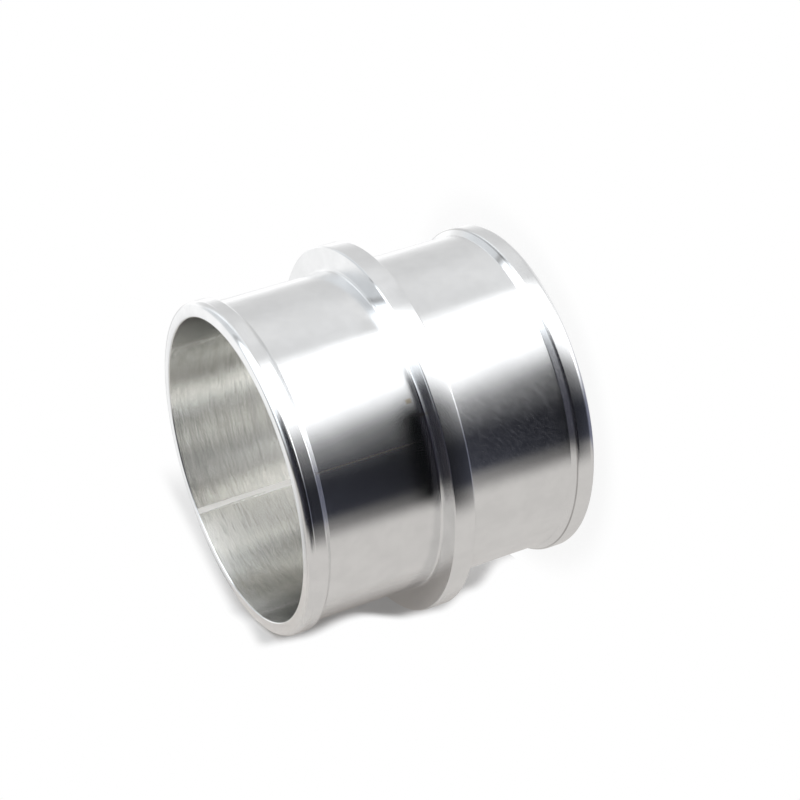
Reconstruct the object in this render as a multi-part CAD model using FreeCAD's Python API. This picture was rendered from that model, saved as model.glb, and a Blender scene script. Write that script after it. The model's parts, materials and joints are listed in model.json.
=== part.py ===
import FreeCAD, Part
import math
import os

# A hose joiner turned from one piece of aluminium bar: a plain tube with a rounded
# hose bead at each end and a square collar round the middle that the two hoses butt
# against. It stands on one end. Its axis is +Z, and the origin is the centre of the
# lower end face. All sizes are in millimetres.

# Tube
tube_diameter = 76.0          # outside, the inside of the hose that it takes
wall_thickness = 2.0
overall_length = 72.0
bore_edge_break = 0.2         # chamfer where the bore meets each end face

# Hose bead at each end
bead_height = 1.5             # how far the crown stands above the tube
bead_width = 5.8              # from the end face to the foot of the shoulder
bead_nose_radius = 1.5        # lead-in, on the side of the end face
shoulder_slope = 50.0         # on the side of the collar, degrees from the axis
shoulder_crown_radius = 0.8   # where the slope meets the crown

# Collar at mid-length
collar_height = 5.8           # how far the rim stands above the tube
collar_width = 5.2
collar_rim_chamfer = 0.3

# Radii and heights that follow from the sizes above
tube_radius = tube_diameter / 2
bore_radius = tube_radius - wall_thickness
bead_radius = tube_radius + bead_height
collar_radius = tube_radius + collar_height
shoulder_run = bead_height / math.tan(math.radians(shoulder_slope))
shoulder_height = bead_width - shoulder_run
collar_bottom = (overall_length - collar_width) / 2


def lower_half_section():
    """Corners from the bore out to the collar's rim: radius, height and rounding."""
    return [
        (bore_radius, bore_edge_break, 0),
        (bore_radius + bore_edge_break, 0, 0),
        (bead_radius, 0, bead_nose_radius),
        (bead_radius, shoulder_height, shoulder_crown_radius),
        (tube_radius, bead_width, 0),
        (tube_radius, collar_bottom, 0),
        (collar_radius - collar_rim_chamfer, collar_bottom, 0),
        (collar_radius, collar_bottom + collar_rim_chamfer, 0),
    ]


def whole_section():
    """The lower half and its mirror image about mid-length, as one ring of corners."""
    lower = lower_half_section()
    upper = [(radius, overall_length - height, rounding) for radius, height, rounding in lower]
    return lower + upper[::-1]


def outline(corners):
    """Straight lines from corner to corner, with an arc wherever there is a rounding."""
    places = [FreeCAD.Vector(radius, 0, height) for radius, height, rounding in corners]
    arcs = []
    arrivals = []
    departures = []
    for index, place in enumerate(places):
        rounding = corners[index][2]
        back = (places[index - 1] - place).normalize()
        ahead = (places[(index + 1) % len(places)] - place).normalize()
        half_angle = back.getAngle(ahead) / 2
        reach = rounding / math.tan(half_angle)
        arrivals.append(place + back * reach)
        departures.append(place + ahead * reach)
        if rounding:
            inward = (back + ahead).normalize()
            middle = place + inward * (rounding / math.sin(half_angle) - rounding)
            arcs.append(Part.Arc(arrivals[-1], middle, departures[-1]).toShape())
    lines = [
        Part.makeLine(start, end)
        for start, end in zip(departures, arrivals[1:] + arrivals[:1])
    ]
    return Part.Wire(Part.sortEdges(lines + arcs)[0])


def hose_joiner():
    """Turn the section once round the axis."""
    section = Part.Face(outline(whole_section()))
    turned = section.revolve(FreeCAD.Vector(0, 0, 0), FreeCAD.Vector(0, 0, 1), 360)
    return Part.Solid(turned.Shells[0])


os.makedirs("parts", exist_ok=True)
hose_joiner().exportStep("parts/hose_joiner.step")
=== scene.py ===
import json
import math
from collections import namedtuple

import bpy
from mathutils import Matrix, Vector


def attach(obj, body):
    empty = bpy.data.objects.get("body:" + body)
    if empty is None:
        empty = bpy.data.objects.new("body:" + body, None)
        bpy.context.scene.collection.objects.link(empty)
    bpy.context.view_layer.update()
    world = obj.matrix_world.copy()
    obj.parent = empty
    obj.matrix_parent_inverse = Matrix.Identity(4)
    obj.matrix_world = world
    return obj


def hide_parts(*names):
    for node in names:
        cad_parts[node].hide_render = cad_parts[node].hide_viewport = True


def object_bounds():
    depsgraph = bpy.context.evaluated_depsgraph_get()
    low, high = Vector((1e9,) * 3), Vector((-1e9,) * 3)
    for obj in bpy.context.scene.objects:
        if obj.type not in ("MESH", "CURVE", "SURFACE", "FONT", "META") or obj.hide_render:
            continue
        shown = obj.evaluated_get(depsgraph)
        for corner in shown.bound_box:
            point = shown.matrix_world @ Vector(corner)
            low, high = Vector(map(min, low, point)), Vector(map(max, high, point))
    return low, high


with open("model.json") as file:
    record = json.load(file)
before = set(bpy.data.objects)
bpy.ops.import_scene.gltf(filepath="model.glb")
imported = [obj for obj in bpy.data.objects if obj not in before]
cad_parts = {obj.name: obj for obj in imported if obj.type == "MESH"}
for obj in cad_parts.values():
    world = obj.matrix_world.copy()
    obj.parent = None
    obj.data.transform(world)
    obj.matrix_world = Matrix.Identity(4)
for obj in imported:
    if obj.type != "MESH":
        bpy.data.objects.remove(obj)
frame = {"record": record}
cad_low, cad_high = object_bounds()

# A turned aluminium hose joiner, standing on its end with its bore upright. The camera
# looks down on it from the -Y side, rolled on its side as the photograph was taken.
# Lengths are in metres and angles in degrees, where nothing else is said.

MM = 0.001


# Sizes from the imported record

mounts = {mount["name"]: mount for mount in frame["record"]["mounts"]}


def mount_size(name, size):
    return mounts[name]["dims"][size] * MM


bore_radius = mount_size("bore", "r_mm")
tube_radius = mount_size("lower_hose_seat", "r_mm")
bead_radius = mount_size("lower_bead", "r_mm")
collar_radius = cad_high.x
length = cad_high.z
seat_length = mount_size("lower_hose_seat", "length_mm")
seat_middle = mounts["lower_hose_seat"]["pos_m"][2]
bead_foot = seat_middle - seat_length / 2
collar_bottom = seat_middle + seat_length / 2
crown_length = mount_size("lower_bead", "length_mm")
crown_bottom = mounts["lower_bead"]["pos_m"][2] - crown_length / 2

nose_radius = bead_radius - tube_radius
bore_break = 0.2 * MM
rim_chamfer = 0.3 * MM
slope_run = 1.26 * MM        # along the axis, of each bead's shoulder
crown_radius = 0.8 * MM
root_radius = 0.7 * MM       # tool radius left where the collar meets the tube
foot_radius = 0.25 * MM      # and where each bead's shoulder does
edge_radius = 0.06 * MM      # on what is left sharp
rim_rounding = 0.2 * MM      # between the collar's rim and its chamfers
step_start = 0.02 * MM       # past the upper bead's nose, tool step down to its crown
step_run = 0.2 * MM
step_drop = 0.05 * MM


# Camera

SENSOR = 36.0
LENS = 112.03
camera_place = Vector((0, -537.36 * MM, 247.26 * MM))
camera_aim = Vector((4.21 * MM, 0, 27.83 * MM))
camera_roll = 107.18


def add_camera():
    data = bpy.data.cameras.new("camera")
    data.sensor_width = SENSOR
    data.lens = LENS
    data.clip_start = 0.01
    data.clip_end = 20
    camera = bpy.data.objects.new("camera", data)
    bpy.context.scene.collection.objects.link(camera)
    level = (camera_aim - camera_place).to_track_quat("-Z", "Y").to_matrix()
    roll = Matrix.Rotation(math.radians(-camera_roll), 3, "Z")
    camera.matrix_world = Matrix.Translation(camera_place) @ (level @ roll).to_4x4()
    bpy.context.scene.camera = camera


add_camera()


# Directions of the photograph's studio, where the joiner lies on its side: its near bead
# and its collar touch the floor. Up from that floor, level towards the camera, and right.
# The side that it lies on is an angle round the joiner, and both angles are in radians

lying_side = math.radians(154.93)
lying_lean = math.atan2(collar_radius - bead_radius, collar_bottom + rim_chamfer - crown_bottom)
studio_down = Vector((math.cos(lying_side) * math.cos(lying_lean),
                      math.sin(lying_side) * math.cos(lying_lean),
                      math.sin(lying_lean)))
studio_up = -studio_down
view_back = (camera_place - camera_aim).normalized()
studio_front = (view_back - view_back.dot(studio_up) * studio_up).normalized()
studio_right = studio_up.cross(studio_front)


# Shader arithmetic

class Number:
    """A number that shader nodes work out. Arithmetic on it adds Math nodes."""

    def __init__(self, tree, socket):
        self.tree = tree
        self.socket = socket

    def math(self, operation, *others):
        node = self.tree.nodes.new("ShaderNodeMath")
        node.operation = operation
        for place, value in enumerate((self,) + others):
            if isinstance(value, Number):
                self.tree.links.new(value.socket, node.inputs[place])
            else:
                node.inputs[place].default_value = value
        return Number(self.tree, node.outputs[0])

    def __add__(self, other):
        return self.math("ADD", other)

    def __mul__(self, other):
        return self.math("MULTIPLY", other)

    def __sub__(self, other):
        return self.math("SUBTRACT", other)

    def __rsub__(self, other):
        return (self * -1).math("ADD", other)

    def __truediv__(self, other):
        return self.math("DIVIDE", other)

    def step(self, start, end):
        """0 below start and 1 above end, smooth between; the other way round if end < start."""
        node = self.tree.nodes.new("ShaderNodeMapRange")
        node.interpolation_type = "SMOOTHSTEP"
        node.inputs["From Min"].default_value = min(start, end)
        node.inputs["From Max"].default_value = max(start, end)
        node.inputs["To Min"].default_value = 0 if start < end else 1
        node.inputs["To Max"].default_value = 1 if start < end else 0
        self.tree.links.new(self.socket, node.inputs["Value"])
        return Number(self.tree, node.outputs["Result"])

    def step_mm(self, start, end):
        """The same for a length in metres, with its start and end in millimetres."""
        return self.step(start * MM, end * MM)


def node_of(tree, kind, **settings):
    node = tree.nodes.new(kind)
    for name, value in settings.items():
        setattr(node, name, value)
    return node


def join(tree, socket, target):
    tree.links.new(socket.socket if isinstance(socket, Number) else socket, target)


def dot(tree, vector, direction):
    node = node_of(tree, "ShaderNodeVectorMath", operation="DOT_PRODUCT")
    join(tree, vector, node.inputs[0])
    node.inputs[1].default_value = direction
    return Number(tree, node.outputs["Value"])


def combine(tree, x, y, z):
    node = node_of(tree, "ShaderNodeCombineXYZ")
    for value, target in zip((x, y, z), node.inputs):
        if isinstance(value, Number):
            join(tree, value, target)
        else:
            target.default_value = value
    return node.outputs[0]


# Places of the Mix node's two colours among its inputs, and of the mixed one in its outputs
MIX_UNDER = 6
MIX_OVER = 7
MIX_RESULT = 2


def blend(tree, amount, under, over):
    """The colour over laid on the colour under by an amount from 0 to 1."""
    node = node_of(tree, "ShaderNodeMix", data_type="RGBA")
    join(tree, amount, node.inputs["Factor"])
    for value, place in ((under, MIX_UNDER), (over, MIX_OVER)):
        if isinstance(value, tuple):
            node.inputs[place].default_value = value + (1,)
        else:
            join(tree, value, node.inputs[place])
    return node.outputs[MIX_RESULT]


def noise(tree, vector, scale, detail=2.0, roughness=0.5):
    node = node_of(tree, "ShaderNodeTexNoise")
    node.inputs["Scale"].default_value = scale
    node.inputs["Detail"].default_value = detail
    node.inputs["Roughness"].default_value = roughness
    join(tree, vector, node.inputs["Vector"])
    return Number(tree, node.outputs["Fac"])


# Studio round the joiner, as its metal reflects it: a pale room behind, a large soft light
# overhead, and the dark room behind the camera, seen through the open front. Azimuth is 0
# towards the camera and 90 to its right, and elevation is over the photograph's floor

def grey(value, warmth=0.0):
    return (value * (1 + warmth), value, value * (1 - warmth))


# A panel is a patch of direction: azimuth of its middle and half its width, its lowest and
# highest elevation, and over how many degrees each edge is blurred. A disc is a round patch
Panel = namedtuple("Panel", "name colour middle half_width side_blur low low_blur high high_blur")
Disc = namedtuple("Disc", "azimuth elevation radius blur")
EVERYWHERE = 180        # half the width of a panel without sides
BOTTOM = -91            # low edge of a panel that reaches straight down
TOP = 91                # high edge of one that reaches straight up

PALE_ROOM = grey(0.82)
BEHIND = [
    Panel("grey wall", grey(0.70), 180, 118, 20, 17, 10, 50, 20),
    Panel("pale wall on the right", grey(1.05), 122, 26, 14, -4, 8, 34, 8),
    Panel("backdrop", grey(1.3), 180, 58, 30, -19, 8, 7, 14),
    Panel("dim ceiling", grey(0.70), 142, 16, 4, 36, 10, TOP, 1),
    Panel("soft light", grey(2.0, -0.01), 0, 100, 30, BOTTOM, 1, TOP, 1),
]
DARK_ROOM = grey(0.001, -0.3)
IN_FRONT = [
    Panel("lit corner", (0.21, 0.22, 0.29), 108, 38, 30, BOTTOM, 1, TOP, 1),
    Panel("glow under the soft light", grey(4.2), 94, 29, 20, 21, 44, TOP, 1),
]
FLOOR = grey(0.61, 0.035)
OVER_ALL = [
    Panel("wall left of the window", grey(0.73, -0.03), -114, 18, 4, -4, 12, 72, 10),
    Panel("window frame", grey(0.36), -101, 2, 2, 14, 8, 70, 12),
    Panel("backdrop on the left", grey(1.04), -130, 22, 10, -28.4, 7, 0, 12),
    Panel("floor", FLOOR, 0, EVERYWHERE, 0, BOTTOM, 1, -33.5, 14),
    Panel("floor on the right", FLOOR, 128, 64, 20, BOTTOM, 1, -20, 8),
    Panel("floor on the left", FLOOR, -92, 26, 20, BOTTOM, 1, -20, 10),
    Panel("camera and its stand", (0.014, 0.013, 0.019), 4, 17, 18, -42, 10, 47, 10),
    Panel("dark room on the left", (0.04, 0.04, 0.054), -36, 17, 18, -30, 10, 26, 12),
]
FRONT_OPENING = Disc(15, -60, 106, 38)
WINDOW = Disc(-85, 35, 43, 24)
WINDOW_LIGHT = grey(1.8, -0.04)
WHITE = grey(1.0)
SKY_LEVEL = 0.85        # of the world's light on what is not glossy; the lamp gives the rest
LAMP_RIGHT = 0.06       # from the camera, as seen from the joiner
LAMP_ABOVE = 0.03
LAMP_WIDTH = 3


def studio_direction(azimuth, elevation):
    level = math.cos(math.radians(elevation))
    return (studio_front * math.cos(math.radians(azimuth)) * level
            + studio_right * math.sin(math.radians(azimuth)) * level
            + studio_up * math.sin(math.radians(elevation)))


def light_studio():
    """Even white light, with the panels seen only in gloss. The camera sees plain white."""
    world = bpy.data.worlds.new("studio")
    bpy.context.scene.world = world
    world.use_nodes = True
    tree = world.node_tree
    tree.nodes.clear()
    direction = node_of(tree, "ShaderNodeTexCoord").outputs["Generated"]
    elevation = dot(tree, direction, studio_up).math("ARCSINE") * math.degrees(1)
    right = dot(tree, direction, studio_right)
    azimuth = right.math("ARCTAN2", dot(tree, direction, studio_front)) * math.degrees(1)

    def lay(colour, panels):
        for panel in panels:
            low, high = panel.low_blur / 2, panel.high_blur / 2
            patch = elevation.step(panel.low - low, panel.low + low)
            patch = patch * elevation.step(panel.high + high, panel.high - high)
            if panel.half_width < EVERYWHERE:
                away = (azimuth - panel.middle).math("WRAP", -180, 180).math("ABSOLUTE")
                side = panel.side_blur / 2
                patch = patch * away.step(panel.half_width + side, panel.half_width - side)
            colour = blend(tree, patch, colour, panel.colour)
        return colour

    def inside(disc):
        middle = studio_direction(disc.azimuth, disc.elevation)
        away = dot(tree, direction, middle).math("ARCCOSINE") * math.degrees(1)
        return away.step(disc.radius + disc.blur / 2, disc.radius - disc.blur / 2)

    behind = lay(PALE_ROOM, BEHIND)
    in_front = lay(DARK_ROOM, IN_FRONT)
    colour = blend(tree, inside(FRONT_OPENING), behind, in_front)
    colour = blend(tree, inside(WINDOW), colour, WINDOW_LIGHT)
    colour = lay(colour, OVER_ALL)
    rays = node_of(tree, "ShaderNodeLightPath")
    plain = blend(tree, rays.outputs["Is Camera Ray"], grey(SKY_LEVEL), WHITE)
    colour = blend(tree, rays.outputs["Is Glossy Ray"], plain, colour)
    background = node_of(tree, "ShaderNodeBackground")
    join(tree, colour, background.inputs["Color"])
    output = node_of(tree, "ShaderNodeOutputWorld")
    join(tree, background.outputs[0], output.inputs["Surface"])


def add_lamp():
    """A soft lamp a little above and right of the camera, not seen in gloss."""
    data = bpy.data.lights.new("lamp", "SUN")
    data.energy = math.pi * (1 - SKY_LEVEL)
    data.angle = math.radians(LAMP_WIDTH)
    lamp = bpy.data.objects.new("lamp", data)
    bpy.context.scene.collection.objects.link(lamp)
    away = view_back + studio_right * LAMP_RIGHT + studio_up * LAMP_ABOVE
    turn_to = away.to_track_quat("Z", "Y").to_matrix()
    lamp.matrix_world = Matrix.Translation(camera_place) @ turn_to.to_4x4()
    lamp.visible_glossy = False


light_studio()
add_lamp()


# Turned metal

def cylinder_coordinates(tree):
    """The point itself, its three coordinates and its distance from the axis, in metres."""
    point = node_of(tree, "ShaderNodeTexCoord").outputs["Object"]
    parts = node_of(tree, "ShaderNodeSeparateXYZ")
    join(tree, point, parts.inputs[0])
    x, y, z = (Number(tree, parts.outputs[place]) for place in range(3))
    radius = (x * x + y * y).math("SQRT")
    return point, x, y, z, radius


def strokes(tree, point, direction, fineness, stretch):
    """Noise drawn out along one direction, as fine scratches are."""
    ahead = Vector(direction).normalized()
    across = ahead.orthogonal().normalized()
    third = ahead.cross(across)
    sideways = (dot(tree, point, across), dot(tree, point, third))
    return noise(tree, combine(tree, dot(tree, point, ahead) / stretch, *sideways), fineness)


SCRATCH_DIRECTIONS = ((0.3, 0.5, 1), (-0.8, 0.2, 0.7))
SCRATCH_STRETCH = 14
BAND_FINENESS = 420
SMUDGE_SCALE = 70
CLOUD_SCALE = 170


class Turning:
    """What both turned surfaces are made of: lathe lines, scratches, smudges and their shader."""

    def __init__(self, name, fineness):
        self.material = bpy.data.materials.new(name)
        self.material.use_nodes = True
        self.tree = tree = self.material.node_tree
        tree.nodes.clear()
        self.point, x, y, self.height, radius = cylinder_coordinates(tree)
        self.angle = y.math("ARCTAN2", x) * math.degrees(1)
        self.ahead = x / radius
        self.across = y / radius
        self.profile = self.height + radius
        self.lines = self.lathe_lines(breaks=2, fineness=fineness, detail=3.0)
        self.bands = self.lathe_lines(breaks=1, fineness=BAND_FINENESS, detail=2.0)
        self.smudge = noise(tree, self.point, SMUDGE_SCALE, 3.0)
        normal = node_of(tree, "ShaderNodeTexCoord").outputs["Normal"]
        self.facing = dot(tree, normal, (0, 0, 1)).math("ABSOLUTE").step(0.8, 0.95)

    def lathe_lines(self, breaks, fineness, detail):
        """Lines round the joiner, broken into more pieces by a larger number of breaks."""
        drawn = combine(self.tree, self.ahead * breaks, self.across * breaks, self.profile * fineness)
        return noise(self.tree, drawn, 1.0, detail, 0.6)

    def scratches(self, fineness, low):
        """Fine strokes that cross the lathe lines, where strokes of both directions meet."""
        first, second = (strokes(self.tree, self.point, direction, fineness, SCRATCH_STRETCH)
                         for direction in SCRATCH_DIRECTIONS)
        return (first * second).step(low, 0.5)

    def mark(self, angle, half_width, bottom, top, fade):
        """A patch at an angle round the joiner, between two heights in millimetres."""
        round_it = (self.angle - angle).math("WRAP", -180, 180).math("ABSOLUTE")
        patch = round_it.step(half_width, half_width * 0.3)
        return patch * self.height.step_mm(bottom, bottom + fade) * self.height.step_mm(top, top - fade)

    def finish(self, roughness, relief, height, colour, dull):
        """The shader. Where dull is 1, the metal is not metallic and scatters light like chalk."""
        tree = self.tree
        bump = node_of(tree, "ShaderNodeBump")
        bump.inputs["Strength"].default_value = 1.0
        bump.inputs["Distance"].default_value = relief
        join(tree, height, bump.inputs["Height"])
        tangent = node_of(tree, "ShaderNodeTangent", direction_type="RADIAL", axis="Z")
        shader = node_of(tree, "ShaderNodeBsdfPrincipled")
        shader.inputs["Anisotropic"].default_value = 1.0
        shader.inputs["Anisotropic Rotation"].default_value = 0.25
        join(tree, 1 - dull, shader.inputs["Metallic"])
        join(tree, roughness, shader.inputs["Roughness"])
        join(tree, colour, shader.inputs["Base Color"])
        join(tree, bump.outputs[0], shader.inputs["Normal"])
        join(tree, tangent.outputs[0], shader.inputs["Tangent"])
        output = node_of(tree, "ShaderNodeOutputMaterial")
        join(tree, shader.outputs[0], output.inputs["Surface"])
        return self.material


ALUMINIUM = (0.90, 0.905, 0.91)
DULL_ALUMINIUM = (0.83, 0.835, 0.84)
TAN = (0.62, 0.52, 0.36)
# Dark colour of a stain, and of the painted shade line round the lower bead
GRIME_AND_SHADE = (0.16, 0.15, 0.14)
OUTSIDE_ROUGHNESS = 0.19
OUTSIDE_RELIEF = 0.0015 * MM


def turned_aluminium():
    """The outside: bright and fine, with a few marks from handling and a painted shade line round the
    lower bead.
    """
    metal = Turning("turned_aluminium", fineness=5200)
    tree = metal.tree
    scratches = metal.scratches(fineness=2400, low=0.36)
    long_scratch = metal.mark(angle=-98.9, half_width=0.26, bottom=38.5, top=71, fade=9)
    tan_spot = metal.mark(angle=-85.3, half_width=1.2, bottom=40.5, top=42.5, fade=0.7)
    tan_spot = tan_spot + metal.mark(angle=-90.8, half_width=0.7, bottom=38.5, top=40.6, fade=0.7)
    blotch = metal.mark(angle=-101.5, half_width=1.4, bottom=47.4, top=49.8, fade=1.0)
    scuffs = strokes(tree, metal.point, direction=(0.8, 0, 0.6), fineness=1900, stretch=5)
    scuffs = scuffs.step(0.35, 0.75)
    scuffs = scuffs * metal.mark(angle=-102, half_width=26, bottom=2, top=36, fade=8)
    # Painted shade: a dark line round the lower bead, where its crown ends and its shoulder begins
    crown_edge_shade = metal.height.step_mm(4.55, 4.7) * metal.height.step_mm(4.95, 4.8)
    by_collar = metal.height.step_mm(47.5, 40.0) * metal.height.step_mm(38.5, 38.8)
    on_collar = metal.height.step_mm(33.0, 33.2) * metal.height.step_mm(39.0, 38.8)
    rough = metal.facing * (on_collar * 0.07 - 0.05) - by_collar * 0.08 + OUTSIDE_ROUGHNESS
    rough = rough + (metal.smudge - 0.5) * 0.04 + (metal.lines - 0.5) * 0.05
    rough = rough + long_scratch * 0.16 + scuffs * 0.04
    clouds = noise(tree, metal.point, CLOUD_SCALE, 4.0, 0.6)
    stain = clouds.step(0.3, 0.7) * 0.7 + scratches * 0.4 + scuffs * 0.7
    colour = blend(tree, stain.math("MINIMUM", 1), ALUMINIUM, DULL_ALUMINIUM)
    colour = blend(tree, (long_scratch * 0.6 + tan_spot * 0.7).math("MINIMUM", 1), colour, TAN)
    # The blotch is a dark stain; the line round the lower bead is painted shade
    colour = blend(tree, blotch * 0.3 + crown_edge_shade * (1 - metal.smudge) * 0.9, colour, GRIME_AND_SHADE)
    height = metal.lines * 0.6 + metal.bands * 0.4 + scratches * 0.6
    return metal.finish(rough, OUTSIDE_RELIEF, height, colour, dull=scuffs * 0.02)


BORED = (0.915, 0.913, 0.888)
DULL_BORED = (0.72, 0.718, 0.69)
# Pale colour of the painted highlight line along the bore
PALE_HIGHLIGHT = (1.0, 0.99, 0.96)
BORE_ROUGHNESS = 0.21
BORE_RELIEF = 0.006 * MM


def bored_aluminium():
    """The bore: coarser lathe lines, in broken pieces, and one pale line along it, a painted highlight.
    """
    metal = Turning("bored_aluminium", fineness=1900)
    tree = metal.tree
    broken = metal.lathe_lines(breaks=9, fineness=2600, detail=1.0).step(0.5, 0.72)
    scratches = metal.scratches(fineness=2000, low=0.34)
    # Painted highlight: a pale line along the bore, on a strip that is also rougher and less metallic
    highlight_line = strokes(tree, metal.point, direction=(0, 0, 1), fineness=2600, stretch=40)
    highlight_line = highlight_line.step(0.25, 0.55)
    highlight_line = highlight_line * metal.mark(angle=100.8, half_width=1.7, bottom=14, top=76, fade=5)
    rough = (metal.smudge - 0.5) * 0.05 + (metal.lines - 0.5) * 0.2 + highlight_line * 0.2 + BORE_ROUGHNESS
    stain = (metal.lines.step(0.42, 0.62) * 0.5 + broken * 0.6 + scratches * 0.4).math("MINIMUM", 1)
    height = metal.lines * 1.2 + metal.bands * 0.6 + broken * 0.8
    colour = blend(tree, highlight_line, blend(tree, stain, BORED, DULL_BORED), PALE_HIGHLIGHT)
    return metal.finish(rough, BORE_RELIEF, height, colour, dull=highlight_line * 0.7)


# The turned body: one section, turned round the axis with fine steps

STEPS_ROUND = 480
Corner = namedtuple("Corner", "radius height rounding steps")


def corner_points(before, corner, after, rounding, steps):
    """Points along the arc that rounds a corner of the section."""
    back = (before - corner).normalized()
    ahead = (after - corner).normalized()
    half_angle = back.angle(ahead) / 2
    reach = rounding / math.tan(half_angle)
    inward = (back + ahead).normalized()
    centre = corner + inward * (rounding / math.sin(half_angle))
    start = corner + back * reach - centre
    end = corner + ahead * reach - centre
    sweep = math.pi - 2 * half_angle
    points = []
    for step in range(steps + 1):
        share = step / steps
        mixed = (start * math.sin((1 - share) * sweep) + end * math.sin(share * sweep)) / math.sin(sweep)
        points.append(centre + mixed)
    return points


def half_section(drop):
    """Corners from an end to the middle, with a step past the nose if its drop is not 0."""
    step_top = nose_radius + step_start
    step = [
        Corner(bead_radius, step_top, edge_radius, 2),
        Corner(bead_radius - drop, step_top + step_run, edge_radius, 2),
    ]
    return [
        Corner(bore_radius, bore_break, edge_radius, 2),
        Corner(bore_radius + bore_break, 0, edge_radius, 2),
        Corner(bead_radius, 0, nose_radius, 14),
        *(step if drop else []),
        Corner(bead_radius - drop, bead_foot - slope_run, crown_radius, 8),
        Corner(tube_radius, bead_foot, foot_radius, 4),
        Corner(tube_radius, collar_bottom, root_radius, 8),
        Corner(collar_radius - rim_chamfer, collar_bottom, edge_radius, 2),
        Corner(collar_radius, collar_bottom + rim_chamfer, rim_rounding, 4),
    ]


def whole_section():
    corners = half_section(0)
    for corner in reversed(half_section(step_drop)):
        corners.append(corner._replace(height=length - corner.height))
    places = [Vector((corner.radius, corner.height)) for corner in corners]
    points = []
    for index, corner in enumerate(corners):
        before = places[index - 1]
        after = places[(index + 1) % len(places)]
        points += corner_points(before, places[index], after, corner.rounding, corner.steps)
    return points


def turn(points):
    """A closed mesh turned from a closed section, with its seam joined."""
    mesh = bpy.data.meshes.new("turned_body")
    vertices = []
    faces = []
    count = len(points)
    for step in range(STEPS_ROUND):
        angle = 2 * math.pi * step / STEPS_ROUND
        vertices += [(p.x * math.cos(angle), p.x * math.sin(angle), p.y) for p in points]
        follow = (step + 1) % STEPS_ROUND
        for place in range(count):
            beyond = (place + 1) % count
            faces.append((step * count + place, follow * count + place,
                          follow * count + beyond, step * count + beyond))
    mesh.from_pydata(vertices, [], faces)
    mesh.shade_smooth()
    return mesh


def hose_joiner():
    mesh = turn(whole_section())
    body = bpy.data.objects.new("turned_body", mesh)
    bpy.context.scene.collection.objects.link(body)
    mesh.materials.append(turned_aluminium())
    mesh.materials.append(bored_aluminium())
    for face in mesh.polygons:
        if math.hypot(face.center.x, face.center.y) < bore_radius + edge_radius / 4:
            face.material_index = 1
    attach(body, "root")
    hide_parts("hose_joiner")


hose_joiner()


# Floors. The standing floor is the one under the joiner's lower end. The lying floor is a
# patch of the photograph's own floor, round the place where the joiner touches it. Both
# are white from above, with the joiner's shadow, and clear from below

# Painted shade: round the joiner each floor is painted grey in a patch and plain white outside it, and
# it takes the joiner's real shadow only in that patch
STANDING_FLOOR_SIZE = 3.0
STANDING_FLOOR_GAP = 0.05 * MM      # under the joiner
STANDING_SHADE = 0.15
LYING_FLOOR_SIZE = 0.24
LYING_FLOOR_GAP = 0.02 * MM
FLOOR_IN_GLOSS = grey(0.92, 0.045)
FLOOR_SHADE_GREY = grey(0.92)


def square(name, middle, normal, ahead, size):
    """A flat stage piece round middle that faces along normal, with its Y along ahead."""
    mesh = bpy.data.meshes.new(name)
    half = size / 2
    mesh.from_pydata([(-half, -half, 0), (half, -half, 0), (half, half, 0), (-half, half, 0)],
                     [], [(0, 1, 2, 3)])
    piece = bpy.data.objects.new(name, mesh)
    across = ahead.cross(normal)
    turn_to = Matrix((across, ahead, normal)).transposed()
    piece.matrix_world = Matrix.Translation(middle) @ turn_to.to_4x4()
    bpy.context.scene.collection.objects.link(piece)
    return piece


def mix_shaders(tree, amount, under, over):
    mix = node_of(tree, "ShaderNodeMixShader")
    join(tree, amount, mix.inputs[0])
    join(tree, under.outputs[0], mix.inputs[1])
    join(tree, over.outputs[0], mix.inputs[2])
    return mix


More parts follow.
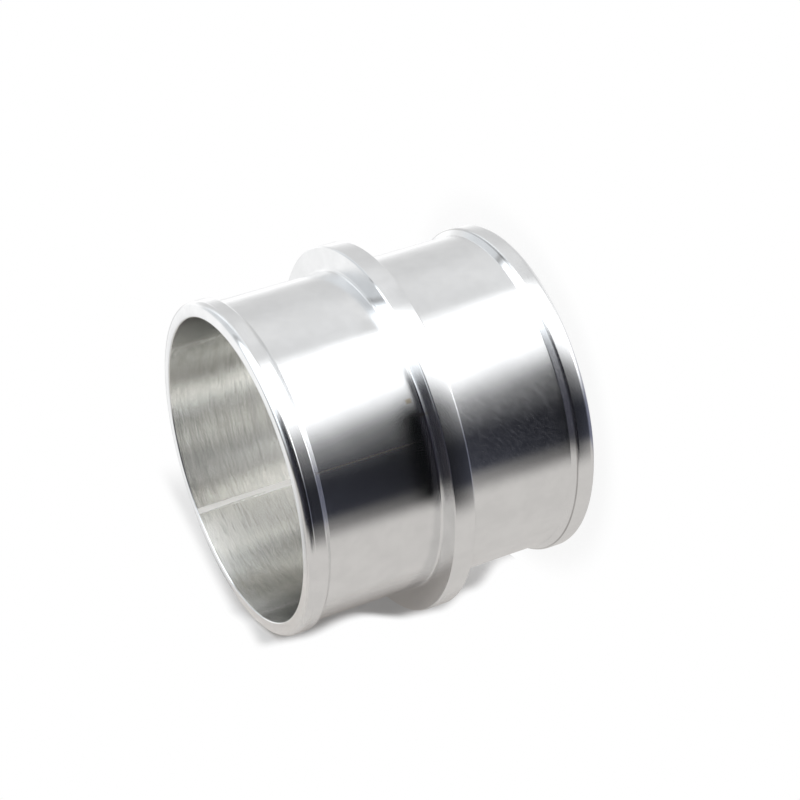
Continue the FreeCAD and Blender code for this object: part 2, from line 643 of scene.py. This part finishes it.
def floor_paint(name, shading):
    """A floor with a painted share, which the shading gives, and plain white in the rest."""
    material = bpy.data.materials.new(name)
    material.use_nodes = True
    tree = material.node_tree
    tree.nodes.clear()
    diffuse = node_of(tree, "ShaderNodeBsdfDiffuse")
    clear = node_of(tree, "ShaderNodeBsdfTransparent")
    rays = node_of(tree, "ShaderNodeLightPath")
    gloss = Number(tree, rays.outputs["Is Glossy Ray"])
    join(tree, blend(tree, gloss, FLOOR_SHADE_GREY, FLOOR_IN_GLOSS), diffuse.inputs["Color"])
    white = node_of(tree, "ShaderNodeEmission")
    unshaded = mix_shaders(tree, rays.outputs["Is Camera Ray"], clear, white)
    surface = mix_shaders(tree, shading(tree, gloss), unshaded, diffuse)
    below = node_of(tree, "ShaderNodeNewGeometry").outputs["Backfacing"]
    surface = mix_shaders(tree, below, surface, clear)
    output = node_of(tree, "ShaderNodeOutputMaterial")
    join(tree, surface.outputs[0], output.inputs["Surface"])
    return material


def standing_shading(tree, gloss):
    # Painted shade: a faint grey patch round the joiner's foot, out to 50 mm from the axis
    radius = cylinder_coordinates(tree)[4]
    return radius.step_mm(50, 41) * STANDING_SHADE


def lying_shading(tree, gloss):
    """Wide in gloss. For the camera, painted shade close to where the joiner touches the floor: a grey
    patch whose edges follow the joiner's outline, and which takes its real shadow.
    """
    away, along = cylinder_coordinates(tree)[1:3]
    wide = away.math("ABSOLUTE").step_mm(30, 10) * along.step_mm(-42, -20) * along.step_mm(64, 30)
    by_tube = along.step_mm(12, -4) * 5 - along.step_mm(-5, -15) * 5.5
    by_far_end = along.step_mm(-23, -36) * 7 + along.step_mm(-35, -54) * 13
    front = (away - (by_tube + by_far_end) * MM).step_mm(-14, -8)
    aslant = along + away * 0.2
    left = (aslant + away.step_mm(10, 0) * 2 * MM).step_mm(23.5, 19.5)
    back = away.step_mm(40, 18).math("MAXIMUM", aslant.step_mm(0, 12))
    close = front * left * back * away.step_mm(110, 80) * along.step_mm(-80, -55)
    return gloss * wide + (1 - gloss) * close


standing_floor = square("standing_floor", Vector((0, 0, -STANDING_FLOOR_GAP)),
                        Vector((0, 0, 1)), Vector((0, 1, 0)), STANDING_FLOOR_SIZE)
standing_floor.data.materials.append(floor_paint("standing_floor", standing_shading))
standing_floor.visible_glossy = False

level_side = Vector((math.cos(lying_side), math.sin(lying_side), 0))
bead_contact = level_side * bead_radius + Vector((0, 0, length - crown_bottom))
collar_contact = level_side * collar_radius + Vector((0, 0, length - collar_bottom - rim_chamfer))
along_floor = (bead_contact - collar_contact).normalized()
lying_middle = (bead_contact + collar_contact) / 2 + studio_down * LYING_FLOOR_GAP
lying_floor = square("lying_floor", lying_middle, studio_up, along_floor, LYING_FLOOR_SIZE)
lying_floor.data.materials.append(floor_paint("lying_floor", lying_shading))

bpy.context.scene.view_settings.view_transform = "Standard"
